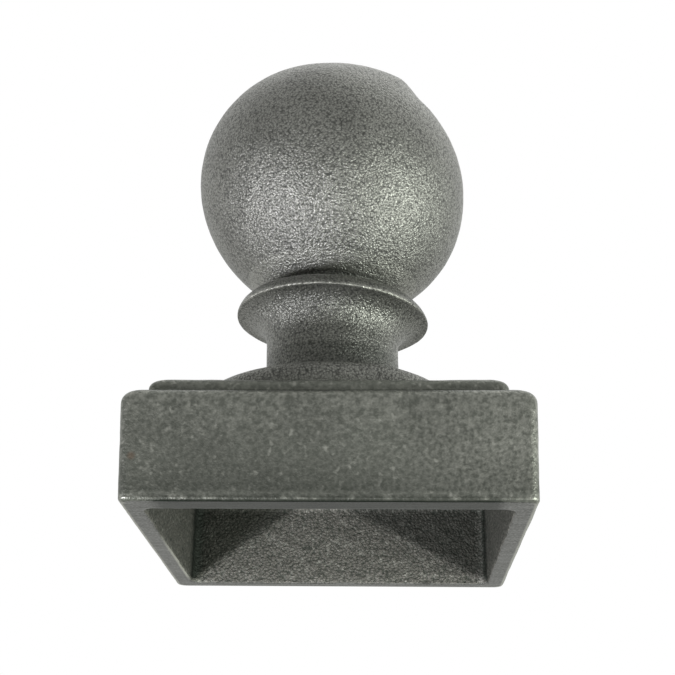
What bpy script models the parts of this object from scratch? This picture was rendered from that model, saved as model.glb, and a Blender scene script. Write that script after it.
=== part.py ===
"""Ball post cap: a rough sand casting of grey iron for the top of a square post.

An open square cup fits down over the post. On the cup stand a thin square pad, a round
plinth, a waisted neck, a flared ring and a solid ball.
All of it is one casting, so the model is one closed solid.

Frame: metres, +Z up, front of the cap towards -Y.
Origin: middle of the cup's rim, on the plane that the rim stands on.
"""

import math

import bpy
from mathutils import Matrix, Vector

MM = 0.001

# Cup: square outside, open below, slightly wider at its shoulder than at its rim
CUP_WIDTH = 70.4 * MM
CUP_HEIGHT = 20.2 * MM
CUP_FLARE = 0.6 * MM             # how much further out each side stands at the top
CUP_LEAN = 0.2 * MM              # how much further left the whole top stands
CUP_SHOULDER_ROUND = 2.9 * MM
CUP_CORNER_ROUND = 1.8 * MM
RIM_ROUND = 0.7 * MM

# Socket for the post, cast with a core that sat a little towards the back
SIDE_WALL = 3.9 * MM
BACK_WALL = 3.8 * MM
FRONT_WALL = 5.6 * MM
SOCKET_DEPTH = 16.5 * MM
SOCKET_CORNER_ROUND = 2.0 * MM
SOCKET_ROOT_ROUND = 1.0 * MM

# Thin square pad on the cup
PAD_WIDTH = 63.4 * MM
PAD_RISE = 3.1 * MM
PAD_ROUND = 2.0 * MM
PAD_OFFSET = -0.4 * MM            # to the left of the middle

# Round plinth on the pad, with a crown that slopes gently up to the neck
PLINTH_RADIUS = 25.5 * MM
PLINTH_RISE = 6.1 * MM
PLINTH_ROUND = 2.4 * MM
PLINTH_OFFSET = -2.3 * MM         # to the left of the middle
PLINTH_TILT = math.radians(1.5)  # higher on the right
CROWN_RISE = 1.9 * MM            # height of the crown's slope, were it carried on to the axis

# Turned stem, from the plinth up. It leans to the left, and its ring and ball sag to the right.
STEM_OFFSET = -0.7 * MM
STEM_LEAN = math.radians(1.0)
STEM_SAG = math.radians(2.6)
NECK_RADIUS = 13.4 * MM
NECK_FOOT_ROUND = 5.0 * MM
NECK_STRAIGHT = 6.0 * MM
FLARE_RISE = 6.0 * MM            # hollow underside of the ring

# Ring: its widest line is a narrow lip, and a leaning band runs up and in from it
RING_RADIUS = 19.6 * MM
LIP_WIDTH = 0.3 * MM
LIP_RISE = 0.3 * MM
BAND_RISE = 3.4 * MM
BAND_LEAN = 3.8 * MM
BAND_POWER = 0.76                # 1 is a quarter of an ellipse, less is flatter

# Groove between the ring and the ball
GROOVE_RADIUS = 12.6 * MM
GROOVE_SLOPE = 1.1 * MM          # rise of the ring's top face towards the groove

# Ball: slightly flattened at its pole
BALL_RADIUS = 28.1 * MM
BALL_HALF_HEIGHT = 27.3 * MM
BALL_CENTRE_RISE = 26.5 * MM     # above the ring's top edge

# Swelling left by the gate, high on the ball towards the right front corner of the cup.
# It rises slowly from the upper left to its crest and drops quickly to the lower right.
SWELL_AZIMUTH = math.radians(-40.0)
SWELL_LATITUDE = math.radians(49.0)
SWELL_TURN = math.radians(-42.0)  # direction of its quick side, measured from due east
SWELL_HEIGHT = 1.2 * MM
SWELL_SLOW_SIDE = math.radians(42.0)
SWELL_QUICK_SIDE = math.radians(13.0)
SWELL_HALF_WIDTH = math.radians(14.0)
SWELL_POWER = 1.5                # 1 is a straight rise on the slow side, more is hollower

# Fineness of the facets
TURN_STEPS = 72
BALL_ARC_POINTS = 26
COVE_POINTS = 5
FLARE_POINTS = 8
BAND_POINTS = 5
ROUND_SEGMENTS = 5
SHARP_ANGLE = math.radians(35.0)  # edges that turn more than this are shaded sharp

# Joined shapes reach this far into each other, and the cutter stands this far proud
OVERLAP = 1.5 * MM

IRON_COLOUR = (0.105, 0.112, 0.103, 1.0)
IRON_METALLIC = 0.75
IRON_ROUGHNESS = 0.55

# Heights that follow from the sizes above
PAD_TOP = CUP_HEIGHT + PAD_RISE
PLINTH_TOP = PAD_TOP + PLINTH_RISE
CROWN_RADIUS = PLINTH_RADIUS - PLINTH_ROUND
FOOT_RADIUS = NECK_RADIUS + NECK_FOOT_ROUND
NECK_FOOT = PLINTH_TOP + CROWN_RISE * (1.0 - FOOT_RADIUS / CROWN_RADIUS)
NECK_BOTTOM = NECK_FOOT + NECK_FOOT_ROUND
NECK_TOP = NECK_BOTTOM + NECK_STRAIGHT
LIP_HEIGHT = NECK_TOP + FLARE_RISE
BAND_BOTTOM = LIP_HEIGHT + LIP_RISE
RING_TOP = BAND_BOTTOM + BAND_RISE
GROOVE_BOTTOM = RING_TOP + GROOVE_SLOPE
BALL_CENTRE = RING_TOP + BALL_CENTRE_RISE


def clear_scene():
    """Remove every object of the scene that the script is run in."""
    for obj in list(bpy.data.objects):
        bpy.data.objects.remove(obj, do_unlink=True)


def new_collection(name):
    """Make a collection directly below the scene's own."""
    collection = bpy.data.collections.new(name)
    bpy.context.scene.collection.children.link(collection)
    return collection


def keep_in(obj, collection, helper=False):
    """Put an object in one collection; a helper is a cutter or a shape to be joined."""
    for old in list(obj.users_collection):
        old.objects.unlink(obj)
    collection.objects.link(obj)
    if helper:
        obj.hide_render = True
        obj.display_type = 'WIRE'


def iron_material():
    """Principled material of the bare sand-cast iron."""
    material = bpy.data.materials.new("sand_cast_grey_iron")
    material.use_nodes = True
    shader = material.node_tree.nodes["Principled BSDF"]
    shader.inputs["Base Color"].default_value = IRON_COLOUR
    shader.inputs["Metallic"].default_value = IRON_METALLIC
    shader.inputs["Roughness"].default_value = IRON_ROUGHNESS
    return material


def rounded_block(name, size_x, size_y, bottom, top, rounds, flare=0.0, lean=0.0,
                  centre=(0.0, 0.0)):
    """Block with three kinds of rounded edges.

    rounds holds the radii of the top edges, the upright edges and the bottom edges.
    flare moves the top edges outwards, and lean moves them to the left, before they are rounded.
    """
    bpy.ops.mesh.primitive_cube_add(size=1.0, location=(0.0, 0.0, 0.0))
    block = bpy.context.active_object
    block.name = name
    middle = (bottom + top) / 2
    block.data.transform(Matrix.Diagonal((size_x, size_y, top - bottom, 1.0)))
    block.data.transform(Matrix.Translation((centre[0], centre[1], middle)))
    for vertex in block.data.vertices:
        if vertex.co.z > middle:
            vertex.co.x += math.copysign(flare, vertex.co.x - centre[0]) - lean
            vertex.co.y += math.copysign(flare, vertex.co.y - centre[1])
    top_round, side_round, bottom_round = rounds
    widest = max(rounds)
    weights = block.data.attributes.new("bevel_weight_edge", 'FLOAT', 'EDGE')
    for edge in block.data.edges:
        heights = [block.data.vertices[index].co.z for index in edge.vertices]
        if min(heights) > middle:
            radius = top_round
        elif max(heights) < middle:
            radius = bottom_round
        else:
            radius = side_round
        weights.data[edge.index].value = radius / widest
    bevel = block.modifiers.new("rounded_edges", 'BEVEL')
    bevel.limit_method = 'WEIGHT'
    bevel.width = widest
    bevel.segments = ROUND_SEGMENTS
    return block


def quarter(points, start, end):
    """Angles of an arc from start to end, both in radians, with both ends."""
    return [start + (end - start) * index / (points - 1) for index in range(points)]


def stem_profile():
    """Half section of the stem as (radius, height), from the ball's pole down to the foot.

    The ball is an ellipse about its centre down to the groove, the hollow below the ring is
    a quarter of an ellipse, the band is a flatter one, and the neck's foot is a quarter circle.
    """
    groove_slope = math.acos(GROOVE_RADIUS / BALL_RADIUS)
    profile = [(BALL_RADIUS * math.cos(a), BALL_CENTRE + BALL_HALF_HEIGHT * math.sin(a))
               for a in quarter(BALL_ARC_POINTS, math.pi / 2, -groove_slope)]
    profile[0] = (0.0, BALL_CENTRE + BALL_HALF_HEIGHT)
    profile.append((GROOVE_RADIUS, GROOVE_BOTTOM))
    profile += [(RING_RADIUS - BAND_LEAN * (1.0 - math.cos(a)) ** BAND_POWER,
                 BAND_BOTTOM + BAND_RISE * math.sin(a))
                for a in quarter(BAND_POINTS, math.pi / 2, 0.0)]
    hollow = RING_RADIUS - LIP_WIDTH - NECK_RADIUS
    profile += [(NECK_RADIUS + hollow * (1.0 - math.cos(a)), NECK_TOP + FLARE_RISE * math.sin(a))
                for a in quarter(FLARE_POINTS, math.pi / 2, 0.0)]
    profile += [(NECK_RADIUS + NECK_FOOT_ROUND * (1.0 - math.cos(a)),
                 NECK_BOTTOM - NECK_FOOT_ROUND * math.sin(a))
                for a in quarter(COVE_POINTS, 0.0, math.pi / 2)]
    profile.append((FOOT_RADIUS, PAD_TOP + OVERLAP))
    profile.append((0.0, PAD_TOP + OVERLAP))
    return profile


def plinth_profile():
    """Half section of the plinth: sloping crown, quarter-round edge, upright side."""
    profile = [(0.0, PLINTH_TOP + CROWN_RISE)]
    profile += [(CROWN_RADIUS + PLINTH_ROUND * math.sin(a),
                 PLINTH_TOP - PLINTH_ROUND * (1.0 - math.cos(a)))
                for a in quarter(COVE_POINTS, 0.0, math.pi / 2)]
    profile.append((PLINTH_RADIUS, PAD_TOP - OVERLAP))
    profile.append((0.0, PAD_TOP - OVERLAP))
    return profile


def turned(name, profile, steps):
    """Turn a half section about the Z axis with a Screw and return the meshed object."""
    outline = bpy.data.meshes.new(name + "_outline")
    outline.from_pydata([(radius, 0.0, height) for radius, height in profile],
                        [(index, index + 1) for index in range(len(profile) - 1)], [])
    lathe = bpy.data.objects.new(name + "_outline", outline)
    bpy.context.scene.collection.objects.link(lathe)
    screw = lathe.modifiers.new("turn", 'SCREW')
    screw.axis = 'Z'
    screw.angle = 2.0 * math.pi
    screw.steps = steps
    screw.render_steps = steps
    screw.use_merge_vertices = True
    screw.merge_threshold = 0.00001
    evaluated = lathe.evaluated_get(bpy.context.evaluated_depsgraph_get())
    body = bpy.data.objects.new(name, bpy.data.meshes.new_from_object(evaluated))
    bpy.context.scene.collection.objects.link(body)
    bpy.data.objects.remove(lathe, do_unlink=True)
    return body


def smooth_step(share):
    """Smooth rise from 0 to 1, level at both ends: three squares less two cubes."""
    share = min(max(share, 0.0), 1.0)
    return share * share * (3.0 - 2.0 * share)


def cast_shift(point):
    """Displacement that sets a point of the true-running stem where it was cast.

    The stem leans from its foot up to the ball's centre. The sag lowers each point in proportion
    to its distance to the right of the axis, and it grows from none at the foot to all at the lip.
    """
    lift = smooth_step((point.z - NECK_FOOT) / (LIP_HEIGHT - NECK_FOOT))
    leaning = min(point.z, BALL_CENTRE) - NECK_FOOT
    return Vector((STEM_OFFSET - leaning * math.tan(STEM_LEAN), 0.0,
                   -point.x * math.tan(STEM_SAG) * lift))


def gate_swelling(point):
    """Outward displacement of a point of the true-running ball by the gate's swelling.

    Along its length it rises with a power of the angle up to the crest and falls in a smooth
    step. Across its length it is a bell curve.
    """
    ray = point - Vector((0.0, 0.0, BALL_CENTRE))
    turned_to_crest = (Matrix.Rotation(-SWELL_TURN, 3, 'X')
                       @ Matrix.Rotation(SWELL_LATITUDE, 3, 'Y')
                       @ Matrix.Rotation(-SWELL_AZIMUTH, 3, 'Z'))
    local = turned_to_crest @ ray.normalized()
    along = math.atan2(local.y, local.x)
    across = math.asin(local.z)
    if along < 0.0:
        rise = max(1.0 + along / SWELL_SLOW_SIDE, 0.0) ** SWELL_POWER
    else:
        rise = 1.0 - smooth_step(along / SWELL_QUICK_SIDE)
    height = SWELL_HEIGHT * rise * math.exp(-(across / SWELL_HALF_WIDTH) ** 2)
    return ray.normalized() * height


def add_boolean(target, other, operation):
    """Join another shape to the target, or cut it out, with the exact solver."""
    boolean = target.modifiers.new(operation.lower() + "_" + other.name, 'BOOLEAN')
    boolean.operation = operation
    boolean.object = other
    boolean.solver = 'EXACT'


def build():
    """Make the casting: cup, pad, plinth and stem joined, socket cut out."""
    clear_scene()
    parts = new_collection("ball_post_cap")
    helpers = new_collection("joined_and_cut_shapes")

    casting = rounded_block("cap_casting", CUP_WIDTH, CUP_WIDTH, 0.0, CUP_HEIGHT,
                            (CUP_SHOULDER_ROUND, CUP_CORNER_ROUND, RIM_ROUND),
                            CUP_FLARE, CUP_LEAN)
    keep_in(casting, parts)
    casting.data.materials.append(iron_material())

    pad = rounded_block("pad", PAD_WIDTH, PAD_WIDTH, CUP_HEIGHT - OVERLAP, PAD_TOP,
                        (PAD_ROUND, PAD_ROUND, 0.0), centre=(PAD_OFFSET, 0.0))
    stem = turned("stem", stem_profile(), TURN_STEPS)
    for vertex in stem.data.vertices:
        if vertex.co.z > GROOVE_BOTTOM:
            vertex.co += gate_swelling(vertex.co)
        vertex.co += cast_shift(vertex.co)
    plinth = turned("plinth", plinth_profile(), TURN_STEPS)
    for vertex in plinth.data.vertices:
        vertex.co.z += vertex.co.x * math.tan(PLINTH_TILT)
        vertex.co.x += PLINTH_OFFSET

    socket_front = -CUP_WIDTH / 2 + FRONT_WALL
    socket_back = CUP_WIDTH / 2 - BACK_WALL
    socket = rounded_block("socket", CUP_WIDTH - 2 * SIDE_WALL, socket_back - socket_front,
                           -OVERLAP, SOCKET_DEPTH,
                           (SOCKET_ROOT_ROUND, SOCKET_CORNER_ROUND, 0.0),
                           centre=(0.0, (socket_front + socket_back) / 2))

    for other in (pad, plinth, stem):
        keep_in(other, helpers, helper=True)
        add_boolean(casting, other, 'UNION')
    keep_in(socket, helpers, helper=True)
    add_boolean(casting, socket, 'DIFFERENCE')

    casting.data.shade_smooth()
    casting.data.set_sharp_from_angle(angle=SHARP_ANGLE)


build()
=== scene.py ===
"""Ball post cap: the finished look of the rough iron casting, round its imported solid.

The casting is one fine closed surface in the place of the solid. Metres, +Z up, front at -Y.
"""

import math

import bpy
import numpy as np
from mathutils import Matrix, Vector


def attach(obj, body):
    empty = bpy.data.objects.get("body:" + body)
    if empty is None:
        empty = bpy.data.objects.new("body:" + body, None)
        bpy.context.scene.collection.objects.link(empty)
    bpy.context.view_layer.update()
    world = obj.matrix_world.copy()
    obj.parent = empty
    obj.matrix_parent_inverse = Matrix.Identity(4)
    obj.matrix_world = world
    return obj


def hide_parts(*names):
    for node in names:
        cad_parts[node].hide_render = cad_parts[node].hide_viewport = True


bl_info = {
    "name": "Ball Post Cap",
    "version": (1, 0, 0),
    "blender": (4, 5, 0),
    "location": "View3D > Sidebar > Post Cap",
    "description": "Sand-cast iron cap with a ball, for a square post",
    "category": "Add Mesh",
}

MM = 0.001
IMAGE_WIDTH = 675
WHITE = (1.0, 1.0, 1.0, 1.0)
CAD_NODE = "cap_casting"
GROOVE_OPENING = 0.35 * MM      # how far the ball's foot stands outside the groove's radius
GROOVE_DEPTH = 0.5 * MM         # depth of the groove's rounded root, from the ball's foot
PAD_FLAT_SHARE = 0.3            # share of the pad's edge round that its flat top replaces
PAD_HOLLOW = 0.06 * MM          # how far the pad's flat top lies below its edge
SPECK_LENGTH = 1.7 * MM         # distance between the specks on the rim's front edge
GROUND_ROW = 4                  # row of the rim's outer round where the ground face begins
ROWS = {                        # number of sections in each part below the ball
    "groove": 8, "shelf": 5, "band": 14, "lip": 4, "hollow": 20, "neck": 9, "foot": 8,
    "crown": 10, "plinth_edge": 8, "plinth_side": 3, "pad_flat": 10, "pad_edge": 8,
    "pad_side": 4, "cup_top": 3, "shoulder": 10, "wall": 26, "rim_edge": 6, "rim": 9,
    "inner_edge": 3, "inner_wall": 22, "root": 5, "ceiling": 14}
# kind; first row and row after the last, each as a part of the outline and a number of rows
# past its start; how strong; where round the row
MARKS = (
    # Painted highlight along the front of the ring's lip.
    ("wear", "lip", -1, "hollow", 0, 0.95, "lip_front"),
    # Painted light on the ball's underside, above the groove.
    ("wear", "groove", -9, "groove", 0, 0.45, "all_round"),
    ("wear", "rim_edge", -1, "rim", 0, 0.7, "off_front"),
    ("wear", "rim_edge", -1, "rim_edge", 2, 0.3, "front_corners"),
    ("wear", "rim_edge", -1, "rim_edge", 2, 0.5, "front_specks"),
    # Lighter towards the right and the top of the cup's front.
    ("wear", "shoulder", 0, "rim_edge", -2, 1.0, "front_top_and_right"),
    ("wear", "crown", 1, "plinth", 3, 0.05, "all_round"),
    # Lighter on the plinth's left.
    ("wear", "crown", 1, "plinth", 3, 0.4, "plinth_left"),
    ("wear", "inner_edge", -1, "inner_edge", 2, 0.8, "mouth_left"),
    # Painted shade in the groove under the ball and on the band below it.
    ("dirt", "groove", 1, "band", -3, 0.55, "all_round"),
    ("dirt", "band", -3, "lip", -2, 0.3, "all_round"),
    # Painted shade in the front of the ring's hollow.
    ("dirt", "hollow", 0, "neck", -6, 0.12, "lip_front"),
    # Painted shade on the neck, darker across its middle, and along its foot.
    ("dirt", "neck", -6, "foot", 4, 0.06, "all_round"),
    ("dirt", "neck", -6, "foot", 4, 0.26, "neck_middle"),
    ("dirt", "foot", -5, "crown", 1, 0.25, "all_round"),
    # Painted shade along the cup's top edge under the pad, over its highlight.
    ("dirt", "pad_side", 1, "shoulder", 4, 0.45, "all_round"),
    # Darker towards the bottom of the cup's front.
    ("dirt", "wall", 0, "rim_edge", -2, 0.42, "low_front"),
    # Painted shade on the rim's front edge, between the specks and along a line over its
    # highlight.
    ("dirt", "rim_edge", -1, "rim_edge", 2, 0.5, "between_specks"),
    ("dirt", "rim_edge", 2, "rim_edge", 5, 0.75, "front_line"),
    ("dirt", "rim_edge", 4, "inner_edge", 0, 0.75, "rim_strip"),
    # Painted shade in the socket: all over, on the side walls, in the back left corner, and two
    # painted shadow triangles on the back wall.
    ("dirt", "inner_wall", 0, "end", 0, 0.10, "all_round"),
    ("dirt", "inner_wall", 0, "end", 0, 0.55, "painted_shadow_triangles"),
    ("dirt", "inner_wall", 0, "end", 0, 0.26, "left_wall"),
    ("dirt", "inner_wall", 0, "end", 0, 0.35, "right_wall"),
    ("dirt", "inner_wall", 0, "end", 0, 0.4, "left_corner"),
)
SEEDS = {"swell": 11, "lump": 12, "fine": 13, "core": 14, "ragged": 15, "speck": 16}
LIGHTS_AIM = Vector((0.0, 0.0, 60.0 * MM))      # point on the axis that the softboxes face
SOFTBOXES = (                   # name, direction, distance and width in m, power in W
    ("left_softbox", (-0.67, -0.49, -0.61), 0.59, 0.13, 3.3),
    ("right_softbox", (0.85, -0.37, -0.40), 0.66, 0.24, 3.7),
    ("top_softbox", (0.1, 0.45, 0.9), 1.2, 0.8, 1.2),
)

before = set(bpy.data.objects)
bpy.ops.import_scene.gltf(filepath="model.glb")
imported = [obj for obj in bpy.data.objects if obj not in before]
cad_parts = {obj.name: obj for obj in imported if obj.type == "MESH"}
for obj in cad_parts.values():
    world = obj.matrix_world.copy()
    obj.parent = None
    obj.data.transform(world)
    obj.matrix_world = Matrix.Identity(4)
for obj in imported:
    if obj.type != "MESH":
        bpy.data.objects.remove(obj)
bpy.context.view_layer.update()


def length(name, description, millimetres):
    """Property for a size that a user would change, with its default in millimetres."""
    return bpy.props.FloatProperty(name=name, description=description, unit='LENGTH',
                                   default=millimetres * MM, precision=4)


def angle(name, description, degrees):
    """Property for an angle, with its default in degrees."""
    return bpy.props.FloatProperty(name=name, description=description, unit='ROTATION',
                                   default=math.radians(degrees))


def amount(name, description, value):
    """Property for a plain number."""
    return bpy.props.FloatProperty(name=name, description=description, default=value)


def count(name, description, value):
    """Property for a number of rows or columns of the surface's grid."""
    return bpy.props.IntProperty(name=name, description=description, default=value, min=2)


def place(name, description, millimetres):
    """Property for a point, with its default in millimetres."""
    return bpy.props.FloatVectorProperty(name=name, description=description, size=3,
                                         subtype='TRANSLATION', unit='LENGTH',
                                         default=[value * MM for value in millimetres])


def linear(code):
    """Linear red, green and blue of an sRGB hex colour such as #8a8d88."""
    parts = np.array([int(code[i:i + 2], 16) for i in (1, 3, 5)]) / 255.0
    bent = np.where(parts <= 0.04045, parts / 12.92, ((parts + 0.055) / 1.055) ** 2.4)
    return tuple(float(part) for part in bent)


def colour(name, description, code):
    """Property for a colour, with its default as an sRGB hex value."""
    return bpy.props.FloatVectorProperty(name=name, description=description, size=3,
                                         subtype='COLOR', default=linear(code),
                                         min=0.0, max=1.0)


class CapSizes(bpy.types.PropertyGroup):
    """Sizes of the casting, from the cup's rim up to the ball."""

    cup_width: length("Cup width", "Outside width of the square cup at its rim", 70.4)
    cup_height: length("Cup height", "Height of the cup up to its flat top", 20.2)
    cup_flare: length("Cup flare", "How much further out each side stands at the top", 0.6)
    cup_lean: length("Cup lean", "How much further left the cup's top stands", 0.2)
    shoulder_round: length("Shoulder round", "Radius along the cup's top edges", 2.9)
    corner_round: length("Corner round", "Radius of the cup's upright corners", 1.8)
    rim_round: length("Rim round", "Radius along the outside of the rim", 0.7)
    side_wall: length("Side wall", "Thickness of the left and right walls", 3.9)
    back_wall: length("Back wall", "Thickness of the back wall", 3.8)
    front_wall: length("Front wall", "Thickness of the front wall", 5.6)
    socket_depth: length("Socket depth", "Height of the socket's ceiling above the rim", 16.5)
    socket_corner: length("Socket corner", "Radius of the socket's upright corners", 2.0)
    socket_root: length("Socket root", "Radius between the socket's walls and ceiling", 1.0)
    mouth_round: length("Mouth round", "Radius along the inside of the rim", 0.35)
    pad_width: length("Pad width", "Width of the thin square pad on the cup", 63.4)
    pad_rise: length("Pad rise", "Height of the pad above the cup", 3.1)
    pad_round: length("Pad round", "Radius of the pad's edges and corners", 2.0)
    pad_offset: length("Pad offset", "Place of the pad's middle, to the right", -0.4)
    plinth_radius: length("Plinth radius", "Radius of the low round plinth", 25.5)
    plinth_rise: length("Plinth rise", "Height of the plinth's edge above the pad", 6.1)
    plinth_round: length("Plinth round", "Radius along the plinth's top edge", 2.4)
    plinth_offset: length("Plinth offset", "Place of the plinth's middle, to the right", -2.3)
    plinth_tilt: angle("Plinth tilt", "Tilt of the plinth, higher on the right", 1.5)
    crown_rise: length("Crown rise", "Rise of the plinth's slope, carried to the axis", 1.9)
    stem_offset: length("Stem offset", "Place of the stem's foot, to the right", -0.7)
    stem_lean: angle("Stem lean", "Lean of the whole stem to the left", 1.0)
    stem_sag: angle("Stem sag", "Tilt of the ring and ball to the right", 2.6)
    neck_radius: length("Neck radius", "Radius of the waist", 13.4)
    neck_foot_round: length("Neck foot round", "Radius of the hollow at the neck's foot", 5.0)
    neck_straight: length("Neck straight", "Height of the neck's straight part", 6.0)
    flare_rise: length("Flare rise", "Height of the hollow under the ring", 6.0)
    ring_radius: length("Ring radius", "Radius of the ring's lip", 19.6)
    lip_width: length("Lip width", "Width of the lip's lower edge", 0.3)
    lip_rise: length("Lip rise", "Height of the lip's lower edge", 0.3)
    band_rise: length("Band rise", "Height of the leaning band above the lip", 3.4)
    band_lean: length("Band lean", "How far the band runs in on its way up", 3.8)
    band_power: amount("Band power", "1 is a quarter of an ellipse, less is flatter", 0.76)
    groove_radius: length("Groove radius", "Radius of the groove under the ball", 12.6)
    groove_slope: length("Groove slope", "Rise of the ring's top towards the groove", 1.1)
    ball_radius: length("Ball radius", "Radius of the ball at its widest", 28.1)
    ball_half: length("Ball half height", "Distance from the ball's middle to its pole", 27.3)
    ball_rise: length("Ball rise", "Height of the ball's middle above the ring", 26.5)
    swell_azimuth: angle("Swelling azimuth", "Direction of the gate's swelling", -40.0)
    swell_latitude: angle("Swelling latitude", "Height of the swelling on the ball", 49.0)
    swell_turn: angle("Swelling turn", "Direction of its quick side, from due east", -42.0)
    swell_height: length("Swelling height", "Height of its crest above the ball", 1.2)
    swell_slow: angle("Swelling slow side", "Angle over which it rises", 42.0)
    swell_quick: angle("Swelling quick side", "Angle over which it drops", 13.0)
    swell_half_width: angle("Swelling half width", "Half width of its bell curve", 14.0)
    swell_power: amount("Swelling power", "1 is a straight rise, more is hollower", 1.5)
    columns: count("Columns", "Points round a quarter of each level section", 74)
    ball_rows: count("Ball rows", "Sections of the ball, from its pole to the groove", 124)


class SkinSizes(bpy.types.PropertyGroup):
    """Scale of the unevenness that the sand mould left in the skin."""

    inset: length("Inset", "Distance of the skin's highest lumps below the solid", 0.03)
    swell_length: length("Swell length", "Distance between the widest swellings", 19.0)
    swell_depth: length("Swell depth", "Depth of the widest swellings", 0.10)
    lump_length: length("Lump length", "Distance between small lumps", 4.2)
    lump_depth: length("Lump depth", "Depth of the small lumps", 0.04)
    nick_place: place("Nick", "Small nick high on the left of the ball", (-27.6, -7.4, 90.0))
    nick_width: length("Nick width", "Half width of the nick", 1.3)
    nick_depth: length("Nick depth", "Depth of the nick", 0.35)
    fine_length: length("Fine length", "Distance between the finest lumps", 1.9)
    fine_depth: length("Fine depth", "Depth of the finest lumps", 0.02)
    core_length: length("Core lump length", "Distance between the socket's lumps", 2.6)
    core_depth: length("Core lump depth", "Depth of the socket's lumps", 0.14)
    ragged_length: length("Ragged length", "Distance between nicks of the mouth", 2.6)
    ragged_share: amount("Ragged share", "Depth of the nicks as a share of the width", 0.006)
    grain: length("Sand grain", "Width of a grain of the mould's sand", 0.45)
    rust_place: place("Rust mark", "Small rust mark low on the left of the front",
                      (-33.1, -35.3, 7.7))
    cloud: length("Clouds", "Distance between lighter and darker areas", 13.0)
    fleck: length("Flecks", "Distance between the cup's faint flecks", 0.8)
    sparse: length("Bright flecks", "Distance that sets the size of the rare bright ones", 1.15)
    core_grain: length("Core grain", "Width of a grain of the core's coarser sand", 0.55)


class CapColours(bpy.types.PropertyGroup):
    """Colours of the iron where it is as cast, worn, ground, dirty and rusty, and of its painted
    light and shade.
    """

    skin: colour("Skin", "As-cast skin of the ball and the neck", "#95968f")
    skin_dark: colour("Skin hollows", "Hollows between the grains", "#555652")
    cup_skin: colour("Cup skin", "Smoother, greener skin of the cup", "#6a6d65")
    worn_and_painted_light: colour("Worn", "Worn tips and edges", "#b9bab0")
    # Also the colour of the painted highlight on the ring's lip and of the painted light on the
    # ball's underside.
    ground: colour("Ground", "Rim that was ground flat", "#828380")
    core: colour("Core", "Skin against the core, inside the socket", "#7f7d76")
    core_dark: colour("Core hollows", "Hollows between the core's grains", "#4a4e47")
    # Also the colour of the painted shade in the groove, on the band, in the ring's hollow, on
    # the neck, along the cup's top edge, on the rim's front edge and in the socket.
    soot_and_shade: colour("Soot", "Dark dirt in grooves and corners", "#20251f")
    rust: colour("Rust", "Small rust marks", "#76553a")


class StageSizes(bpy.types.PropertyGroup):
    """Camera, lights and floor."""

    focal_pixels: amount("Focal length", "Focal length in pixels of the picture", 1259.1)
    yaw: angle("Yaw", "Turn of the camera to the right", -2.03)
    pitch: angle("Pitch", "Tilt of the camera, looking up", 22.59)
    roll: angle("Roll", "Turn of the camera about its own axis", 0.729)
    camera_x: length("Camera X", "Place of the camera to the right", 8.477)
    camera_y: length("Camera Y", "Place of the camera along the depth", -236.838)
    camera_z: length("Camera Z", "Height of the camera", -54.789)
    floor_height: length("Floor height", "Height of the floor, well below the cap", -700.0)
    floor_width: length("Floor width", "Width of the square floor", 60000.0)
    left_softbox_tint: colour("Left tint", "Slightly violet light from the left", "#f7f5ff")
    right_softbox_tint: colour("Right tint", "Slightly green light from the right", "#fafff9")
    top_softbox_tint: colour("Top tint", "White light from above and behind", "#ffffff")
    floor_colour: colour("Floor colour", "Pale matt floor", "#e9e9e6")


def sections(half_x, half_y, corner, middle_x, middle_y, height):
    """Level sections in rows: half widths, corner radius, middle and height of each."""
    values = np.broadcast_arrays(half_x, half_y, corner, middle_x, middle_y, height)
    return np.atleast_2d(np.stack(values, axis=-1)).astype(float)


def rounds(radius, height, middle_x=0.0):
    """Round sections: rectangles whose corner radius is as large as their half widths."""
    return sections(radius, radius, radius, middle_x, 0.0, height)


def arc(start, end, number):
    """Sines and cosines of angles in degrees, evenly spaced, without the first one."""
    turn = np.radians(np.linspace(start, end, number + 1)[1:])
    return np.sin(turn), np.cos(turn)


def blend_rows(first, last, number):
    """Rows that go from one section to another in equal steps, without the first one."""
    share = np.linspace(0.0, 1.0, number + 1)[1:, None]
    return first + (last - first) * share


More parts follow.
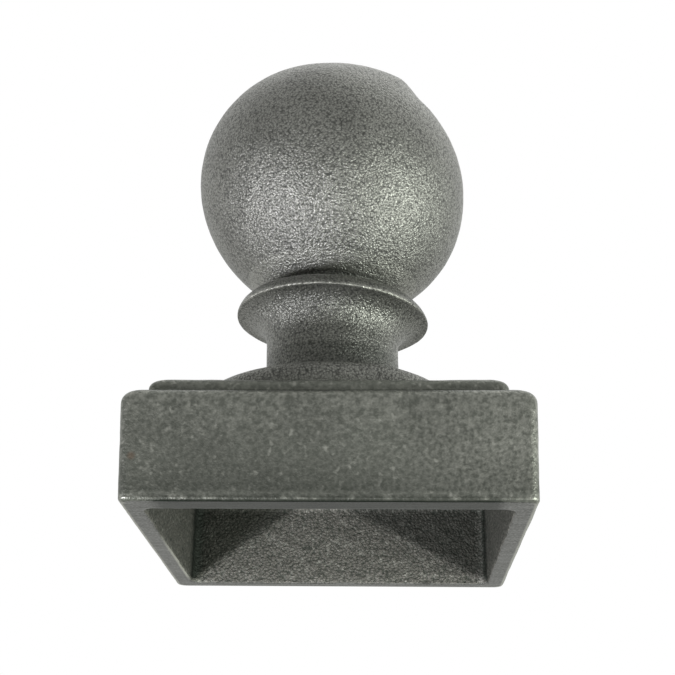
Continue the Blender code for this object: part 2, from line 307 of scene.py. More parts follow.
def stem_sections(size):
    """Sections of the ball, groove, band, lip, hollow, neck and foot, from the pole down.

    The ball is half widths R cos(a) at heights c + H sin(a). The hollow below the lip is a
    quarter of an ellipse, the band is a flatter one, and the neck's foot is part of a circle.
    """
    pad_top = size.cup_height + size.pad_rise
    plinth_top = pad_top + size.plinth_rise
    crown_radius = size.plinth_radius - size.plinth_round
    foot_radius = size.neck_radius + size.neck_foot_round
    neck_foot = plinth_top + size.crown_rise * (1.0 - foot_radius / crown_radius)
    neck_bottom = neck_foot + size.neck_foot_round
    neck_top = neck_bottom + size.neck_straight
    lip_height = neck_top + size.flare_rise
    band_bottom = lip_height + size.lip_rise
    ring_top = band_bottom + size.band_rise
    groove_bottom = ring_top + size.groove_slope
    centre = ring_top + size.ball_rise
    ball_foot = size.groove_radius + GROOVE_OPENING
    low = -math.degrees(math.acos(ball_foot / size.ball_radius))

    turn = np.radians(np.linspace(90.0, low, size.ball_rows))
    ball = rounds(size.ball_radius * np.cos(turn), centre + size.ball_half * np.sin(turn))
    ball[0, :3] = 0.0
    hollow_radius = (ball[-1, 5] - groove_bottom) / 2
    s, c = arc(0.0, 180.0, ROWS["groove"])
    groove = rounds(ball_foot - GROOVE_DEPTH * s,
                    groove_bottom + hollow_radius * (1.0 + c))
    band_top = rounds(size.ring_radius - size.band_lean, ring_top)
    shelf = blend_rows(groove[-1], band_top[0], ROWS["shelf"])
    s, c = arc(90.0, 0.0, ROWS["band"])
    band = rounds(size.ring_radius - size.band_lean * (1.0 - c) ** size.band_power,
                  band_bottom + size.band_rise * s)
    s, c = arc(0.0, 90.0, ROWS["lip"])
    lip = rounds(size.ring_radius - size.lip_width * (1.0 - c), band_bottom - size.lip_rise * s)
    reach = size.ring_radius - size.lip_width - size.neck_radius
    s, c = arc(90.0, 0.0, ROWS["hollow"])
    hollow = rounds(size.neck_radius + reach * (1.0 - c), neck_top + size.flare_rise * s)
    neck = blend_rows(hollow[-1], rounds(size.neck_radius, neck_bottom)[0], ROWS["neck"])
    slope = math.degrees(math.atan(size.crown_rise / crown_radius))
    s, c = arc(0.0, 90.0 - slope, ROWS["foot"])
    foot = rounds(size.neck_radius + size.neck_foot_round * (1.0 - c),
                  neck_bottom - size.neck_foot_round * s)
    crown = blend_rows(foot[-1], rounds(crown_radius, plinth_top)[0], ROWS["crown"])
    levels = {"neck_foot": neck_foot, "lip_height": lip_height, "centre": centre}
    named = {"ball": ball, "groove": groove, "shelf": shelf, "band": band, "lip": lip,
             "hollow": hollow, "neck": neck, "foot": foot, "crown": crown}
    return named, levels


def cup_sections(size):
    """Sections of the plinth's edge, pad, cup, rim and socket, from the plinth down.

    Between the round plinth and the square pad, and from there on, each section is a
    rectangle with rounded corners, whose corner radius and half widths change by equal
    steps. The rounded edges are quarter circles.
    """
    pad_top = size.cup_height + size.pad_rise
    plinth_top = pad_top + size.plinth_rise
    s, c = arc(0.0, 90.0, ROWS["plinth_edge"])
    edge = rounds(size.plinth_radius - size.plinth_round * (1.0 - s),
                  plinth_top - size.plinth_round * (1.0 - c))
    side = blend_rows(edge[-1], rounds(size.plinth_radius, pad_top)[0],
                      ROWS["plinth_side"])
    plinth = np.concatenate([edge, side])
    plinth[:, 3] = size.plinth_offset

    half = size.pad_width / 2
    start = math.degrees(math.asin(PAD_FLAT_SHARE))
    s, c = arc(start, 90.0, ROWS["pad_edge"])
    pad_edge = sections(half - size.pad_round * (1.0 - s), half - size.pad_round * (1.0 - s),
                        size.pad_round, size.pad_offset, 0.0,
                        pad_top - size.pad_round * (1.0 - c))
    first = half - size.pad_round * (1.0 - PAD_FLAT_SHARE)
    flat = sections(first, first, size.pad_round, size.pad_offset, 0.0,
                    pad_top - PAD_HOLLOW)
    pad_flat = blend_rows(plinth[-1], flat[0], ROWS["pad_flat"])
    pad_foot = sections(half, half, size.pad_round, size.pad_offset, 0.0, size.cup_height)
    pad_side = blend_rows(pad_edge[-1], pad_foot[0], ROWS["pad_side"])

    top_half = size.cup_width / 2 + size.cup_flare
    shelf_half = top_half - size.shoulder_round
    shelf = sections(shelf_half, shelf_half, size.corner_round, -size.cup_lean, 0.0,
                     size.cup_height)
    cup_top = blend_rows(pad_side[-1], shelf[0], ROWS["cup_top"])
    s, c = arc(0.0, 90.0, ROWS["shoulder"])
    heights = size.cup_height - size.shoulder_round * (1.0 - c)
    slant = size.cup_flare * heights / size.cup_height
    reach = size.cup_width / 2 + slant - size.shoulder_round * (1.0 - s)
    lean = -size.cup_lean * heights / size.cup_height
    shoulder = sections(reach, reach, size.corner_round, lean, 0.0, heights)
    heights = np.linspace(heights[-1], size.rim_round, ROWS["wall"] + 1)[1:]
    reach = size.cup_width / 2 + size.cup_flare * heights / size.cup_height
    lean = -size.cup_lean * heights / size.cup_height
    wall = sections(reach, reach, size.corner_round, lean, 0.0, heights)
    s, c = arc(0.0, 90.0, ROWS["rim_edge"])
    reach = wall[-1, 0] - size.rim_round * (1.0 - c)
    rim_edge = sections(reach, reach, size.corner_round, 0.0, 0.0, size.rim_round * (1.0 - s))

    inner_x = size.cup_width / 2 - size.side_wall
    front = -size.cup_width / 2 + size.front_wall
    back = size.cup_width / 2 - size.back_wall
    inner_y, middle = (back - front) / 2, (back + front) / 2
    mouth = sections(inner_x + size.mouth_round, inner_y + size.mouth_round,
                     size.socket_corner + size.mouth_round, 0.0, middle, 0.0)
    rim = blend_rows(rim_edge[-1], mouth[0], ROWS["rim"])
    s, c = arc(0.0, 90.0, ROWS["inner_edge"])
    inner_edge = sections(inner_x + size.mouth_round * (1.0 - s),
                          inner_y + size.mouth_round * (1.0 - s),
                          size.socket_corner + size.mouth_round * (1.0 - s), 0.0, middle,
                          size.mouth_round * (1.0 - c))
    upper = sections(inner_x, inner_y, size.socket_corner, 0.0, middle,
                     size.socket_depth - size.socket_root)
    inner_wall = blend_rows(inner_edge[-1], upper[0], ROWS["inner_wall"])
    s, c = arc(0.0, 90.0, ROWS["root"])
    root = sections(inner_x - size.socket_root * (1.0 - c),
                    inner_y - size.socket_root * (1.0 - c), size.socket_corner, 0.0, middle,
                    size.socket_depth - size.socket_root * (1.0 - s))
    top = np.array([0.0, 0.0, 0.0, 0.0, middle, size.socket_depth])
    ceiling = blend_rows(root[-1], top, ROWS["ceiling"])
    return {"plinth": plinth, "pad_flat": pad_flat, "pad_edge": pad_edge,
            "pad_side": pad_side, "cup_top": cup_top, "shoulder": shoulder, "wall": wall,
            "rim_edge": rim_edge, "rim": rim, "inner_edge": inner_edge,
            "inner_wall": inner_wall, "root": root, "ceiling": ceiling}


def ring_points(rows, columns):
    """Points of each section, for all rows and four times the columns at once.

    In a quarter, t runs from 0 to 1: along the first straight, round the corner's arc, and
    along the second straight. The arc takes a share of the columns equal to its share of
    the length, and at least a tenth. The other quarters are its mirror images.
    """
    half_x, half_y, corner, middle_x, middle_y, height = rows.T[:, :, None]
    v = np.arange(4 * columns)[None, :] / columns
    quarter = np.floor(v)
    t = np.where(quarter == 0, v, np.where(quarter == 1, 2 - v,
                 np.where(quarter == 2, v - 2, 4 - v)))
    sign_x = np.where((quarter == 0) | (quarter == 3), 1.0, -1.0)
    sign_y = np.where(quarter < 2, 1.0, -1.0)
    tiny = 1e-9
    bent = corner * math.pi / 2
    share = bent / np.maximum(bent + half_x + half_y - 2 * corner, tiny)
    k = 0.5 * np.clip(share, 0.1, 1.0)
    straight = np.maximum(0.5 - k, tiny)
    turn = np.clip((t - 0.5 + k) / (2 * k), 0.0, 1.0) * math.pi / 2
    x = (half_x - corner) * np.clip((1.0 - t) / straight, 0.0, 1.0) + corner * np.cos(turn)
    y = (half_y - corner) * np.clip(t / straight, 0.0, 1.0) + corner * np.sin(turn)
    return np.stack([middle_x + sign_x * x, middle_y + sign_y * y,
                     np.broadcast_to(height, x.shape)], axis=2)


def ramp(values, start, end):
    """Straight rise from 0 at the start to 1 at the end, level outside."""
    return np.clip((values - start) / (end - start), 0.0, 1.0)


def smooth_step(values, start, end):
    """Smooth rise from 0 at the start to 1 at the end: three squares less two cubes."""
    share = ramp(values, start, end)
    return share * share * (3.0 - 2.0 * share)


def cast_shift(points, size, levels):
    """Lean and sag of the stem: it leans to the left from its foot to the ball's middle.

    The sag lowers a point in proportion to its distance to the right of the axis, and it
    grows smoothly from none at the foot to all at the lip.
    """
    z = points[..., 2]
    lift = smooth_step(z, levels["neck_foot"], levels["lip_height"])
    leaning = np.minimum(z, levels["centre"]) - levels["neck_foot"]
    moved = points.copy()
    moved[..., 0] += size.stem_offset - leaning * math.tan(size.stem_lean)
    moved[..., 2] -= points[..., 0] * math.tan(size.stem_sag) * lift
    return moved


def with_gate_swelling(points, size, levels):
    """Ball with the swelling that its gate left.

    Along its length the swelling rises with a power of the angle up to the crest and
    falls in a smooth step. Across its length it is a bell curve.
    """
    middle = np.array([0.0, 0.0, levels["centre"]])
    rays = points - middle
    rays = rays / np.linalg.norm(rays, axis=-1, keepdims=True)
    turned_to_crest = (Matrix.Rotation(-size.swell_turn, 3, 'X')
                       @ Matrix.Rotation(size.swell_latitude, 3, 'Y')
                       @ Matrix.Rotation(-size.swell_azimuth, 3, 'Z'))
    local = rays @ np.array(turned_to_crest).T
    along = np.arctan2(local[..., 1], local[..., 0])
    across = np.arcsin(local[..., 2])
    slow = ramp(along, -size.swell_slow, 0.0) ** size.swell_power
    quick = 1.0 - smooth_step(along, 0.0, size.swell_quick)
    bell = np.exp(-(across / size.swell_half_width) ** 2)
    height = size.swell_height * slow * quick * bell
    return points + rays * height[..., None]


def waves(points, wavelength, seed, number=26):
    """Soft seeded unevenness from -1 to 1: a sum of sines along evenly mixed directions.

    Each wave's length lies within a third of the given one, and tanh rounds off the few
    high tops.
    """
    source = np.random.default_rng(seed)
    directions = source.normal(size=(number, 3))
    directions /= np.linalg.norm(directions, axis=1, keepdims=True)
    lengths = wavelength * source.uniform(0.67, 1.33, number)
    phases = source.uniform(0.0, 2.0 * math.pi, number)
    total = np.zeros(points.shape[:-1])
    for direction, wave, phase in zip(directions, lengths, phases):
        total += np.sin(points @ direction * (2.0 * math.pi / wave) + phase)
    return np.tanh(total / math.sqrt(number / 2.0) * 0.8)


def grid_faces(rows, columns):
    """Corner numbers of the faces between rows of points, with a fan at either pole."""
    ring = np.arange(columns)
    after = np.roll(ring, -1)
    start = 1 + np.arange(rows - 1)[:, None] * columns
    upper, lower = start, start + columns
    quads = np.stack([upper + ring, lower + ring, lower + after, upper + after],
                     axis=2).reshape(-1, 4)
    last = 1 + rows * columns
    top = np.stack([np.zeros(columns, int), 1 + ring, 1 + after], axis=1)
    end = 1 + (rows - 1) * columns
    bottom = np.stack([end + after, end + ring, np.full(columns, last)], axis=1)
    return top, quads, bottom


def fill_mesh(mesh, points, top, quads, bottom):
    """Put the points and faces of a closed grid into a mesh."""
    corners = np.concatenate([top.ravel(), quads.ravel(), bottom.ravel()])
    sizes = np.concatenate([np.full(len(top), 3), np.full(len(quads), 4),
                            np.full(len(bottom), 3)])
    starts = np.concatenate([[0], np.cumsum(sizes)[:-1]])
    mesh.vertices.add(len(points))
    mesh.vertices.foreach_set("co", points.astype(np.float32).ravel())
    mesh.loops.add(len(corners))
    mesh.loops.foreach_set("vertex_index", corners.astype(np.int32))
    mesh.polygons.add(len(sizes))
    mesh.polygons.foreach_set("loop_start", starts.astype(np.int32))
    mesh.update(calc_edges=True)
    mesh.validate()
    mesh.polygons.foreach_set("use_smooth", np.ones(len(sizes), bool))


def add_value(mesh, name, values):
    """Give the mesh one number a point, for its materials to read."""
    attribute = mesh.attributes.new(name, 'FLOAT', 'POINT')
    attribute.data.foreach_set("value", values.astype(np.float32))


def feed(tree, node, inputs):
    """Give the sockets of a node their values, or link other sockets to them."""
    for socket, value in inputs.items():
        if isinstance(value, bpy.types.NodeSocket):
            tree.links.new(value, node.inputs[socket])
        else:
            node.inputs[socket].default_value = value


def fill(tree, kind, inputs=None, **settings):
    """Add a node with its settings, its input values and the sockets linked to it."""
    made = tree.nodes.new(kind)
    for name, value in settings.items():
        setattr(made, name, value)
    feed(tree, made, inputs or {})
    return made


def new_material(name):
    """Material with its tree, its Principled shader and the place on the object."""
    material = bpy.data.materials.new(name)
    material.use_nodes = True
    tree = material.node_tree
    where = fill(tree, 'ShaderNodeTexCoord').outputs["Object"]
    return material, tree, tree.nodes["Principled BSDF"], where


def rgba(values):
    """Colour of a property with full opacity."""
    return (*values, 1.0)


def sand_grain(tree, where, width):
    """Height of the sand's print: a soft noise less the distance to the nearest grain."""
    cells = fill(tree, 'ShaderNodeTexVoronoi', {
        "Vector": where, "Scale": 1.0 / width}).outputs["Distance"]
    sand = fill(tree, 'ShaderNodeTexNoise', {
        "Vector": where, "Scale": 2.0 / width, "Detail": 1.0}).outputs[0]
    return fill(tree, 'ShaderNodeMath', {0: sand, 1: cells}, operation='SUBTRACT').outputs[0]


def with_wear_dirt_and_painted_light(tree, tone, colours, patch=None):
    """A colour with the mesh's worn places and painted light, and its dirty places and painted
    shade, laid over it.

    A patch pattern, where there is one, breaks the wear and the painted light up.
    """
    # Amounts of wear and painted light, and of dirt and painted shade, on the mesh.
    worn_and_painted_light = fill(tree, 'ShaderNodeAttribute', attribute_name="wear").outputs["Fac"]
    dirt = fill(tree, 'ShaderNodeAttribute', attribute_name="dirt").outputs["Fac"]
    if patch:
        worn_and_painted_light = fill(tree, 'ShaderNodeMath', {0: worn_and_painted_light, 1: patch},
                    operation='MULTIPLY').outputs[0]
    tone = fill(tree, 'ShaderNodeMix', {
        0: worn_and_painted_light, 6: tone, 7: rgba(colours.worn_and_painted_light)}, data_type='RGBA').outputs[2]
    return fill(tree, 'ShaderNodeMix', {
        0: dirt, 6: tone, 7: rgba(colours.soot_and_shade)}, data_type='RGBA').outputs[2]


def sand_cast_skin(colours, skin):
    """Grey iron cast in green sand, shaken out and brushed, not painted.

    The eye sees an even grain of small bright tips and dark hollows, a broad soft sheen,
    and a smoother, darker and greener skin with pale flecks on the cup. The print of single
    sand grains is too fine for the mesh, so it is colour and bump here.
    """
    material, tree, shader, where = new_material("sand_cast_grey_iron")
    height = fill(tree, 'ShaderNodeSeparateXYZ', {0: where}).outputs["Z"]
    on_cup = fill(tree, 'ShaderNodeMapRange', {
        "Value": height, "From Min": 27.0 * MM, "From Max": 22.5 * MM},
        interpolation_type='SMOOTHSTEP').outputs[0]
    grain = sand_grain(tree, where, skin.grain)
    cloud = fill(tree, 'ShaderNodeTexNoise', {
        "Vector": where, "Scale": 1.0 / skin.cloud, "Detail": 2.0}).outputs[0]
    fleck = fill(tree, 'ShaderNodeTexNoise', {
        "Vector": where, "Scale": 1.0 / skin.fleck, "Detail": 1.0}).outputs[0]

    tips = fill(tree, 'ShaderNodeMapRange', {
        "Value": grain, "From Min": -0.35, "From Max": 0.3}).outputs[0]
    skin_tone = fill(tree, 'ShaderNodeMix', {
        0: tips, 6: rgba(colours.skin_dark), 7: rgba(colours.skin)}, data_type='RGBA').outputs[2]
    mottle = fill(tree, 'ShaderNodeMapRange', {
        "Value": fleck, "From Min": 0.35, "From Max": 0.72, "To Max": 0.24}).outputs[0]
    sparse = fill(tree, 'ShaderNodeTexNoise', {
        "Vector": where, "Scale": 1.0 / skin.sparse, "Detail": 1.0}).outputs[0]
    bright = fill(tree, 'ShaderNodeMapRange', {
        "Value": sparse, "From Min": 0.62, "From Max": 0.80, "To Max": 0.5}).outputs[0]
    cup_fleck = fill(tree, 'ShaderNodeMath', {0: mottle, 1: bright}, operation='ADD').outputs[0]
    cup_tone = fill(tree, 'ShaderNodeMix', {
        0: cup_fleck, 6: rgba(colours.cup_skin), 7: rgba(colours.worn_and_painted_light)},
        data_type='RGBA').outputs[2]
    tone = fill(tree, 'ShaderNodeMix', {
        0: on_cup, 6: skin_tone, 7: cup_tone}, data_type='RGBA').outputs[2]
    shade = fill(tree, 'ShaderNodeMapRange', {
        "Value": cloud, "From Min": 0.3, "From Max": 0.7, "To Min": 0.86,
        "To Max": 1.13}).outputs[0]
    tone = fill(tree, 'ShaderNodeVectorMath', {0: tone, 1: shade},
                operation='MULTIPLY').outputs[0]

    worn_patch = fill(tree, 'ShaderNodeMapRange', {
        "Value": fleck, "From Min": 0.28, "From Max": 0.76}).outputs[0]
    # The mesh's wear and dirt, with its painted highlight, painted light and painted shade, go
    # over the skin.
    tone = with_wear_dirt_and_painted_light(tree, tone, colours, worn_patch)
    off_rust = fill(tree, 'ShaderNodeVectorMath', {0: where, 1: skin.rust_place},
                    operation='DISTANCE').outputs["Value"]
    rusty = fill(tree, 'ShaderNodeMapRange', {
        "Value": off_rust, "From Min": 0.9 * MM, "From Max": 0.3 * MM,
        "To Max": 0.4}).outputs[0]
    tone = fill(tree, 'ShaderNodeMix', {
        0: rusty, 6: tone, 7: rgba(colours.rust)}, data_type='RGBA').outputs[2]

    rough = fill(tree, 'ShaderNodeMapRange', {
        "Value": tips, "To Min": 0.47, "To Max": 0.35}).outputs[0]
    strength = fill(tree, 'ShaderNodeMapRange', {
        "Value": on_cup, "To Min": 1.0, "To Max": 0.4}).outputs[0]
    bump = fill(tree, 'ShaderNodeBump', {
        "Height": grain, "Strength": strength, "Distance": 0.135 * MM}).outputs[0]
    feed(tree, shader, {"Base Color": tone, "Metallic": 0.85, "Roughness": rough,
                        "Normal": bump})
    return material


def ground_rim_iron(colours, skin):
    """Rim ground flat on a wheel: bright bare iron with fine straight lines."""
    material, tree, shader, where = new_material("ground_grey_iron")
    turned = fill(tree, 'ShaderNodeMapping', {
        "Vector": where, "Rotation": (0.0, 0.0, math.radians(64.0)),
        "Scale": (1.0 / (9.0 * MM), 1.0 / (0.34 * MM), 1.0 / (0.34 * MM))}).outputs[0]
    lines = fill(tree, 'ShaderNodeTexNoise', {
        "Vector": turned, "Scale": 1.0, "Detail": 2.0}).outputs[0]
    speck = fill(tree, 'ShaderNodeTexNoise', {
        "Vector": where, "Scale": 1.0 / skin.grain, "Detail": 2.0}).outputs[0]
    both = fill(tree, 'ShaderNodeMath', {0: lines, 1: speck}, operation='ADD').outputs[0]
    light = fill(tree, 'ShaderNodeMapRange', {
        "Value": both, "From Min": 0.86, "From Max": 1.14}).outputs[0]
    tone = fill(tree, 'ShaderNodeMix', {
        0: light, 6: rgba(colours.skin_dark), 7: rgba(colours.ground)},
        data_type='RGBA').outputs[2]
    # The rim's front edge gets painted shade here, with its wear and dirt.
    tone = with_wear_dirt_and_painted_light(tree, tone, colours)
    bump = fill(tree, 'ShaderNodeBump', {
        "Height": both, "Strength": 0.5, "Distance": 0.06 * MM}).outputs[0]
    feed(tree, shader, {"Base Color": tone, "Metallic": 0.9, "Roughness": 0.45,
                        "Normal": bump})
    return material


def core_cast_skin(colours, skin):
    """Inside of the socket, cast against a coarser sand core: dark, dull and pitted.

    Its grains are too fine for the mesh as well.
    """
    material, tree, shader, where = new_material("core_cast_grey_iron")
    grain = sand_grain(tree, where, skin.core_grain)
    tips = fill(tree, 'ShaderNodeMapRange', {
        "Value": grain, "From Min": -0.35, "From Max": 0.32}).outputs[0]
    tone = fill(tree, 'ShaderNodeMix', {
        0: tips, 6: rgba(colours.core_dark), 7: rgba(colours.core)},
        data_type='RGBA').outputs[2]
    speck = fill(tree, 'ShaderNodeTexNoise', {
        "Vector": where, "Scale": 1.0 / skin.fleck, "Detail": 2.0}).outputs[0]
    bright = fill(tree, 'ShaderNodeMapRange', {
        "Value": speck, "From Min": 0.56, "From Max": 0.72, "To Max": 0.4}).outputs[0]
    tone = fill(tree, 'ShaderNodeMix', {
        0: bright, 6: tone, 7: rgba(colours.worn_and_painted_light)}, data_type='RGBA').outputs[2]
    # Painted shade inside the socket, with two painted shadow triangles on its back wall, lies
    # over the core's skin here.
    tone = with_wear_dirt_and_painted_light(tree, tone, colours)
    bump = fill(tree, 'ShaderNodeBump', {
        "Height": grain, "Strength": 0.9, "Distance": 0.13 * MM}).outputs[0]
    feed(tree, shader, {"Base Color": tone, "Metallic": 0.7, "Roughness": 0.6,
                        "Normal": bump})
    return material


def pale_floor(tint):
    """Matt painted board, with a faint mottle that keeps it from looking like card."""
    material, tree, shader, where = new_material("matt_painted_board")
    mottle = fill(tree, 'ShaderNodeTexNoise', {
        "Vector": where, "Scale": 1.0 / (400.0 * MM), "Detail": 3.0}).outputs[0]
    shade = fill(tree, 'ShaderNodeMapRange', {
        "Value": mottle, "To Min": 0.97}).outputs[0]
    tone = fill(tree, 'ShaderNodeVectorMath', {0: tuple(tint), 1: shade},
                operation='MULTIPLY').outputs[0]
    feed(tree, shader, {"Base Color": tone, "Roughness": 0.9})
    return material


def casting_points(size):
    """Points of the whole casting, the row of each and the first row of each part.

    The rows run from the ball's pole to the socket's ceiling, and "end" is past the last.
    The plinth is tilted: the tilt grows in even steps over the crown, as does the way from
    the stem's foot to the plinth's middle, and it fades over the side.
    """
    stem, levels = stem_sections(size)
    named = {**stem, **cup_sections(size)}
    starts, total = {}, 0
    for name, rows in named.items():
        starts[name] = total
        total += len(rows)
    starts["end"] = total
    rows = np.concatenate(list(named.values()))
    points = ring_points(rows, size.columns)

    crown, plinth = starts["crown"], starts["plinth"]
    pad_flat = starts["pad_flat"]
    points[1:starts["groove"]] = with_gate_swelling(points[1:starts["groove"]], size, levels)
    points[:crown] = cast_shift(points[:crown], size, levels)
    ease = np.linspace(0.0, 1.0, len(named["crown"]) + 1)[1:, None]
    tilted = np.concatenate([ease[:, 0], np.ones(pad_flat - plinth - ROWS["plinth_side"]),
                             np.linspace(1.0, 0.0, ROWS["plinth_side"] + 1)[1:]])
    sideways = points[crown:pad_flat, :, 0] - rows[crown:pad_flat, 3:4]
    points[crown:pad_flat, :, 2] += sideways * math.tan(size.plinth_tilt) * tilted[:, None]
    points[crown:plinth, :, 0] += (size.stem_offset
                                   + (size.plinth_offset - size.stem_offset) * ease)

    flat = np.concatenate([points[0, :1], points[1:-1].reshape(-1, 3), points[-1, :1]])
    row_of = np.concatenate([[0], np.repeat(np.arange(1, total - 1), 4 * size.columns),
                             [total - 1]])
    return flat, row_of, starts


def lumps(points, skin, name):
    """One size of the skin's lumps, from 0 at their tops down to minus their depth."""
    depth, wavelength = getattr(skin, name + "_depth"), getattr(skin, name + "_length")
    return depth * (waves(points, wavelength, SEEDS[name]) - 1.0) / 2.0


def with_cast_skin(points, normals, row_of, starts, skin):
    """Points moved inwards by the unevenness of the skin; the ground rim stays flat.

    Three sizes of waves lie on all of it, a fourth in the socket, and a bell-shaped nick on
    the ball. The socket's mouth is widened a little, unevenly.
    """
    uneven = sum(lumps(points, skin, name) for name in ("swell", "lump", "fine"))
    in_socket = row_of >= starts["inner_edge"]
    uneven += in_socket * lumps(points, skin, "core") - skin.inset
    at_mouth = (row_of >= starts["inner_edge"] - 1) & (row_of < starts["inner_wall"] + 1)
    ragged = waves(points, skin.ragged_length, SEEDS["ragged"])
    wider = at_mouth * skin.ragged_share * (ragged + 1.0) / 2.0
    moved = points * np.stack([1.0 + wider, 1.0 + wider, np.ones(len(points))], axis=1)
    off_nick = np.linalg.norm(moved - np.array(skin.nick_place), axis=1) / skin.nick_width
    uneven -= skin.nick_depth * np.exp(-off_nick ** 2)
    ground = (row_of >= starts["rim_edge"] + GROUND_ROW) & (row_of < starts["inner_edge"])
    return moved + normals * (uneven * ~ground)[:, None]


def wear_dirt_and_painted_light(points, row_of, starts, size):
    """How much wear and painted light, and how much dirt and painted shade, each point has, from
    0 to 1, by the table of marks.

    Ramps in millimetres keep the marks to the front, a side or a corner.
    """
    x, y, z = points.T / MM
    half = size.cup_width / 2 / MM
    lip = size.ring_radius / MM
    front = ramp(-y, half - 1.7, half - 0.9)
    near_corner = ramp(np.abs(x), 27.0, 33.0)
    specks = ramp(waves(points, SPECK_LENGTH, SEEDS["speck"]), 0.35, 0.85)
    # Distance from the side walls and slopes of the painted shadow lines on the socket's back
    # wall.
    from_side_wall = half - size.side_wall / MM - np.abs(x)
    slope = np.where(x < 0.0, 0.72, 0.52)
    places = {
        "all_round": 1.0,
        # Front of the ring, where the lip's painted highlight and the hollow's painted shade
        # lie.
        "lip_front": ramp(-y, 0.35 * lip, 0.65 * lip),
        "off_front": 1.0 - front,
        "front_corners": front * near_corner,
        "front_specks": front * specks,
        # Painted shade on the rim's front edge: between the specks, and along a line over the
        # edge's highlight.
        "between_specks": front * (1.0 - specks) * (1.0 - near_corner),
        "front_line": front * (1.0 - 0.7 * near_corner),
        # Lighter towards the right and the top of the cup's front.
        "front_top_and_right": front * np.maximum(0.38 * ramp(x, 8.0, 22.0),
                                           0.32 * ramp(z, 10.0, 18.0)),
        # Darker towards the bottom of the cup's front.
        "low_front": front * ramp(-z, -8.0, 0.0),
        # Lighter on the plinth's left.
        "plinth_left": ramp(-x, 2.0, 12.0),
        # Painted shade across the middle of the neck.
        "neck_middle": ramp(x, -6.0, 4.0) * ramp(-x, -12.0, -8.0),
        "mouth_left": (ramp(-x, half - 6.0, half - 5.0) * ramp(y, -12.0, 4.0)
                       * ramp(-y, -29.0, -25.0)),
        "rim_strip": ramp(-y, 29.3, 29.8) * ramp(-np.abs(x), -30.0, -28.0),
        # Painted shadow: two triangles on the socket's back wall, above lines that rise from its
        # lower corners as the side lights' shadows would.
        "painted_shadow_triangles": ramp(z - slope * from_side_wall, 0.3, 1.3) * ramp(y, 29.0, 30.5),
        # Painted shade on the socket's side walls and in its back left corner.
        "left_wall": ramp(-x, 30.5, 31.0),
        "right_wall": ramp(x, 30.5, 31.0),
        "left_corner": ramp(-x, 28.8, 30.4) * ramp(y, 25.0, 28.5),
    }
    values = {"wear": np.zeros(len(points)), "dirt": np.zeros(len(points))}
    for kind, first, past_first, after, past_after, strength, where in MARKS:
        in_rows = ((row_of >= starts[first] + past_first)
                   & (row_of < starts[after] + past_after))
        values[kind] += in_rows * strength * places[where]
    return values


class MESH_OT_post_cap_casting(bpy.types.Operator):
    """Build the casting as one fine closed surface in the place of its solid"""

    bl_idname = "mesh.post_cap_casting"
    bl_label = "Iron casting"

    def execute(self, context):
        size = context.scene.post_cap_sizes
        skin = context.scene.post_cap_skin
        colours = context.scene.post_cap_colours
        around = 4 * size.columns
        points, row_of, starts = casting_points(size)
        last = starts["end"] - 1
        mesh = bpy.data.meshes.new("iron_casting")
        fill_mesh(mesh, points, *grid_faces(last - 1, around))

        normals = np.empty(len(points) * 3, np.float32)
        mesh.vertex_normals.foreach_get("vector", normals)
        points = with_cast_skin(points, normals.reshape(-1, 3), row_of, starts, skin)
        mesh.vertices.foreach_set("co", points.astype(np.float32).ravel())
        # Wear and painted light, and dirt and painted shade, for the materials to read.
        for name, values in wear_dirt_and_painted_light(points, row_of, starts, size).items():
            add_value(mesh, name, values)

        for material in (sand_cast_skin(colours, skin), ground_rim_iron(colours, skin),
                         core_cast_skin(colours, skin)):
            mesh.materials.append(material)
        row_of_face = np.repeat(np.arange(last), around)
        slots = np.digitize(row_of_face, [starts["rim_edge"] + GROUND_ROW,
                                          starts["inner_edge"]])
        mesh.polygons.foreach_set("material_index", slots.astype(np.int32))
        mesh.update()

        casting = bpy.data.objects.new("iron_casting", mesh)
        context.scene.collection.objects.link(casting)
        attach(casting, "root")
        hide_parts(CAD_NODE)
        return {'FINISHED'}


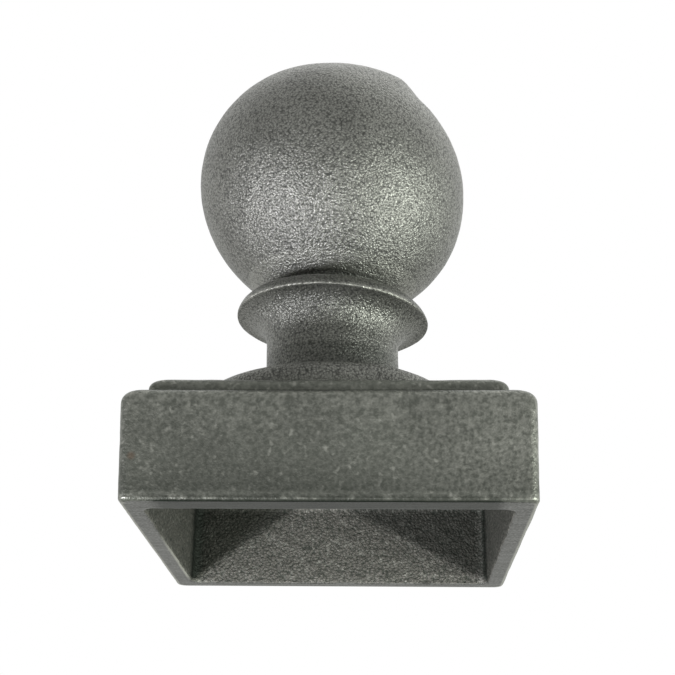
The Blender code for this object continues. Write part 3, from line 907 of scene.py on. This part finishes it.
class SCENE_OT_post_cap_stage(bpy.types.Operator):
    """Add the pale floor, the soft lights, the white surroundings and the camera"""

    bl_idname = "scene.post_cap_stage"
    bl_label = "Floor, lights and camera"

    def execute(self, context):
        stage = context.scene.post_cap_stage
        self.add_floor(context, stage)
        for name, direction, distance, width, power in SOFTBOXES:
            self.add_light(context, name, direction, distance, width, power,
                           getattr(stage, name + "_tint"))
        self.surround(context)
        self.add_camera(context, stage)
        context.scene.view_settings.view_transform = 'Standard'
        return {'FINISHED'}

    def add_floor(self, context, stage):
        """Flat square below everything."""
        reach = stage.floor_width / 2
        corners = [(x * reach, y * reach, stage.floor_height)
                   for x, y in ((-1, -1), (1, -1), (1, 1), (-1, 1))]
        mesh = bpy.data.meshes.new("floor")
        mesh.from_pydata(corners, [], [(0, 1, 2, 3)])
        mesh.materials.append(pale_floor(stage.floor_colour))
        floor = bpy.data.objects.new("floor", mesh)
        context.scene.collection.objects.link(floor)

    def add_light(self, context, name, direction, distance, width, power, tint):
        """Square softbox that faces the cap from a direction."""
        data = bpy.data.lights.new(name, 'AREA')
        data.shape = 'SQUARE'
        data.size = width
        data.energy = power
        data.color = tint
        light = bpy.data.objects.new(name, data)
        towards = Vector(direction).normalized()
        light.location = LIGHTS_AIM + towards * distance
        light.rotation_mode = 'QUATERNION'
        light.rotation_quaternion = towards.to_track_quat('Z', 'Y')
        light.visible_camera = False
        context.scene.collection.objects.link(light)

    def surround(self, context):
        """White surroundings, bright behind the cap, fair above it and dim in front of it."""
        world = bpy.data.worlds.new("white_studio")
        context.scene.world = world
        world.use_nodes = True
        tree = world.node_tree
        tree.nodes.clear()
        direction = fill(tree, 'ShaderNodeTexCoord').outputs["Generated"]
        towards = fill(tree, 'ShaderNodeSeparateXYZ', {0: direction}).outputs
        behind = fill(tree, 'ShaderNodeMapRange', {
            "Value": towards["Y"], "From Min": -0.3, "From Max": 0.5, "To Min": 0.26,
            "To Max": 0.72}).outputs[0]
        above = fill(tree, 'ShaderNodeMapRange', {
            "Value": towards["Z"], "From Min": 0.2, "From Max": 0.7, "To Max": 0.27}).outputs[0]
        aside = fill(tree, 'ShaderNodeMapRange', {
            "Value": towards["X"], "From Min": 0.1, "From Max": 0.9, "To Max": 0.37}).outputs[0]
        light = fill(tree, 'ShaderNodeMath', {0: behind, 1: above}, operation='ADD').outputs[0]
        light = fill(tree, 'ShaderNodeMath', {0: light, 1: aside}, operation='ADD').outputs[0]
        seen = fill(tree, 'ShaderNodeLightPath').outputs["Is Camera Ray"]
        dim = fill(tree, 'ShaderNodeBackground', {
            "Color": WHITE, "Strength": light}).outputs[0]
        white = fill(tree, 'ShaderNodeBackground', {"Color": WHITE}).outputs[0]
        both = fill(tree, 'ShaderNodeMixShader', {0: seen, 1: dim, 2: white}).outputs[0]
        fill(tree, 'ShaderNodeOutputWorld', {"Surface": both})

    def add_camera(self, context, stage):
        """Camera below the rim in front of the cap, looking up at it."""
        yaw, pitch, roll = stage.yaw, stage.pitch, stage.roll
        forward = Vector((math.sin(yaw) * math.cos(pitch), math.cos(yaw) * math.cos(pitch),
                          math.sin(pitch)))
        level = Vector((math.cos(yaw), -math.sin(yaw), 0.0))
        upright = level.cross(forward)
        right = math.cos(roll) * level + math.sin(roll) * upright
        up = -math.sin(roll) * level + math.cos(roll) * upright
        data = bpy.data.cameras.new("camera")
        data.sensor_width = 36.0
        data.lens = stage.focal_pixels / IMAGE_WIDTH * data.sensor_width
        data.clip_start = 10.0 * MM
        camera = bpy.data.objects.new("camera", data)
        turn = Matrix((right, up, -forward)).transposed().to_4x4()
        position = Vector((stage.camera_x, stage.camera_y, stage.camera_z))
        camera.matrix_world = Matrix.Translation(position) @ turn
        context.scene.collection.objects.link(camera)
        context.scene.camera = camera


class VIEW3D_PT_post_cap(bpy.types.Panel):
    """Sidebar panel with the casting and its stage"""

    bl_idname = "VIEW3D_PT_post_cap"
    bl_label = "Ball post cap"
    bl_space_type = 'VIEW_3D'
    bl_region_type = 'UI'
    bl_category = "Post Cap"

    def draw(self, context):
        for operator in OPERATORS:
            self.layout.operator(operator.bl_idname)


OPERATORS = (MESH_OT_post_cap_casting, SCENE_OT_post_cap_stage)
GROUPS = {"post_cap_sizes": CapSizes, "post_cap_skin": SkinSizes,
          "post_cap_colours": CapColours, "post_cap_stage": StageSizes}


def register():
    """Register the classes and give the scene its groups of values."""
    for item in (*GROUPS.values(), *OPERATORS, VIEW3D_PT_post_cap):
        bpy.utils.register_class(item)
    for name, group in GROUPS.items():
        setattr(bpy.types.Scene, name, bpy.props.PointerProperty(type=group))


def unregister():
    """Take the groups and classes away again."""
    for name in GROUPS:
        delattr(bpy.types.Scene, name)
    for item in (VIEW3D_PT_post_cap, *reversed(OPERATORS), *reversed(GROUPS.values())):
        bpy.utils.unregister_class(item)


def main():
    """Register the classes and build the casting, with the CAD model kept but hidden, and its
    stage.
    """
    register()
    bpy.ops.mesh.post_cap_casting()
    bpy.ops.scene.post_cap_stage()


if __name__ == "__main__":
    main()
